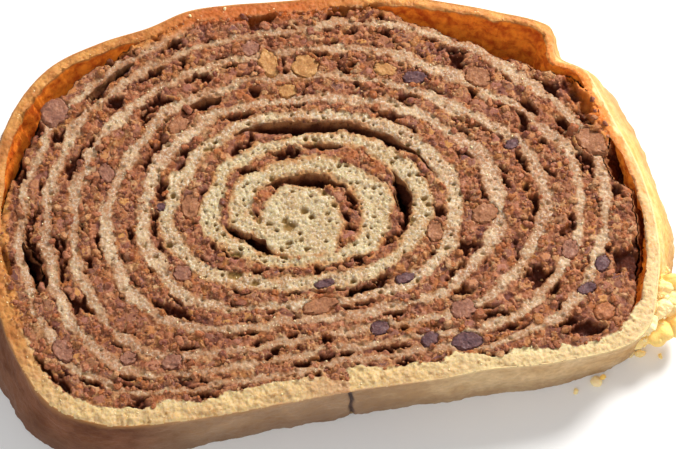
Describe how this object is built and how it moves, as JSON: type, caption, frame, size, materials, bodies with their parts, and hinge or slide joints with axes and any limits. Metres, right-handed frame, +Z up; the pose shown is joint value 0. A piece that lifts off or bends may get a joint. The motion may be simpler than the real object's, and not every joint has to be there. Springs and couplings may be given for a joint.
{
  "type": "nut roll slice",
  "caption": "Slice of a rolled yeast pastry with walnut filling, lying on one cut face: a spiral of dough layers inside a domed crust with a flat base.",
  "frame": {"origin": "under the middle of the slice, on the surface that its lower cut face rests on", "axes": "+X along the flat base crust of the roll, +Y from that base to the domed top of the roll, +Z up, out of the cut face that shows"},
  "size_m": [0.1342, 0.0843, 0.015],
  "materials": {
    "dough": "matt",
    "filling": "matt",
    "nut_pale": "matt",
    "nut_brown": "matt",
    "nut_mauve": "matt",
    "nut_dark": "matt",
    "nut_amber": "matt"
  },
  "bodies": {
    "root": {"dough": "dough", "filling": "filling", "filling_core": "filling", "nut_right_top": "nut_brown", "nut_right_middle": "nut_brown", "nut_top_round": "nut_pale", "nut_top_tall": "nut_pale", "nut_left_gap": "nut_mauve", "nut_left_inner": "nut_brown", "nut_left_upper": "nut_brown", "nut_top_dark": "nut_dark", "nut_top_flat": "nut_pale", "nut_right_shoulder": "nut_brown", "nut_low_right": "nut_mauve", "nut_base_right": "nut_dark", "nut_low_middle": "nut_brown", "nut_right_corner": "nut_amber", "nut_left_corner": "nut_mauve"}
  },
  "joints": []
}
